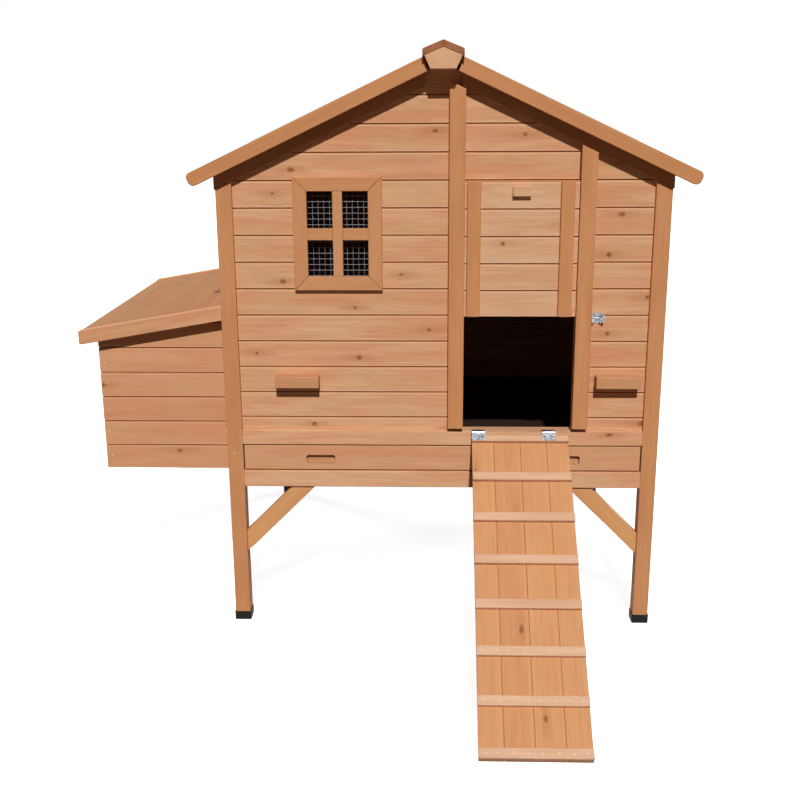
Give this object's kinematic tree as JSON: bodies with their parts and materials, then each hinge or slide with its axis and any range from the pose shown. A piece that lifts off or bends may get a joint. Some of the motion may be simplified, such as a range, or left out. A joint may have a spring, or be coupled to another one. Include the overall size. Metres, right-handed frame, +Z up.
{
  "type": "raised chicken coop",
  "caption": "Raised wooden hen house with a pitched board roof, a sliding pop door, a hinged ramp, an outside nest box with a lifting lid and a pull-out tray.",
  "frame": {"origin": "centre of the object's box at ground level, under the house", "axes": "+Z up, +Y from the ramp and gable front towards the back, +X to the right seen from the front, with the nest box on -X"},
  "size_m": [1.399, 1.5698, 1.345],
  "materials": {
    "fir_boards": "planed fir boards, oiled",
    "fir_trim": "planed fir, stained, satin",
    "film_faced_ply": "plywood faced with dark brown phenolic film",
    "black_plastic": "moulded",
    "galvanised_steel": "galvanised"
  },
  "bodies": {
    "house": {"front_left_post": "fir_trim", "front_right_post": "fir_trim", "rear_left_post": "fir_trim", "rear_right_post": "fir_trim", "foot_caps": "black_plastic", "front_wall_boards": "fir_boards", "rear_wall_boards": "fir_boards", "left_wall_boards": "fir_boards", "right_wall_boards": "fir_boards", "centre_post": "fir_trim", "door_post": "fir_trim", "front_sill_rail": "fir_trim", "ramp_hinge_batten": "fir_trim", "front_bottom_rail": "fir_trim", "rear_bottom_rail": "fir_trim", "side_bottom_rails": "fir_trim", "wall_plates": "fir_trim", "front_braces": "fir_trim", "rear_braces": "fir_trim", "front_rafters": "fir_trim", "rear_rafters": "fir_trim", "ridge_beam": "fir_trim", "ridge_caps": "fir_trim", "left_roof_boards": "fir_boards", "right_roof_boards": "fir_boards", "front_left_barge_board": "fir_trim", "front_right_barge_board": "fir_trim", "rear_barge_boards": "fir_trim", "window_trim": "fir_trim", "window_bars": "fir_trim", "window_mesh": "galvanised_steel", "left_grip_block": "fir_trim", "right_grip_block": "fir_trim", "nest_front_boards": "fir_boards", "nest_outer_boards": "fir_boards", "nest_rear_boards": "fir_boards", "nest_floor": "fir_boards", "nest_divider": "fir_boards", "nest_corner_battens": "fir_trim", "nest_hinge_wall_leaves": "galvanised_steel", "nest_hinge_pins": "galvanised_steel", "ramp_hinge_sill_leaves": "galvanised_steel", "ramp_hinge_pins": "galvanised_steel", "tray_runners": "fir_trim", "perches": "fir_trim", "perch_brackets": "fir_trim", "bolt_plate": "galvanised_steel"},
    "nest_lid": {"nest_lid_boards": "fir_boards", "nest_lid_trims": "fir_trim", "nest_hinge_lid_leaves": "galvanised_steel"},
    "pop_door": {"pop_door_boards": "fir_boards", "pop_door_battens": "fir_trim", "pop_door_pull": "fir_trim"},
    "ramp": {"ramp_boards": "fir_boards", "ramp_cleats": "fir_trim", "ramp_hinge_ramp_leaves": "galvanised_steel"},
    "tray": {"tray_front": "fir_boards", "tray_walls": "fir_boards", "tray_base": "film_faced_ply"},
    "bolt": {"bolt_rod": "galvanised_steel"}
  },
  "joints": [
    {"name": "pop_door_slide", "type": "slide", "parent": "house", "child": "pop_door", "axis": [0, 0, 1], "range_m": [-0.2663, 0.065]},
    {"name": "ramp_hinge", "type": "hinge", "parent": "house", "child": "ramp", "pos_m": [0.325, -0.20754, 0.487], "axis": [-1, 0, 0], "range_deg": [0, 122]},
    {"name": "nest_lid_hinge", "type": "hinge", "parent": "house", "child": "nest_lid", "pos_m": [-0.3505, 0.22441, 0.77098], "axis": [0, 1, 0], "range_deg": [0, 85]},
    {"name": "tray_slide", "type": "slide", "parent": "house", "child": "tray", "axis": [0, -1, 0], "range_m": [0, 0.02]},
    {"name": "bolt_slide", "type": "slide", "parent": "house", "child": "bolt", "axis": [-1, 0, 0], "range_m": [0, 0.012]}
  ]
}
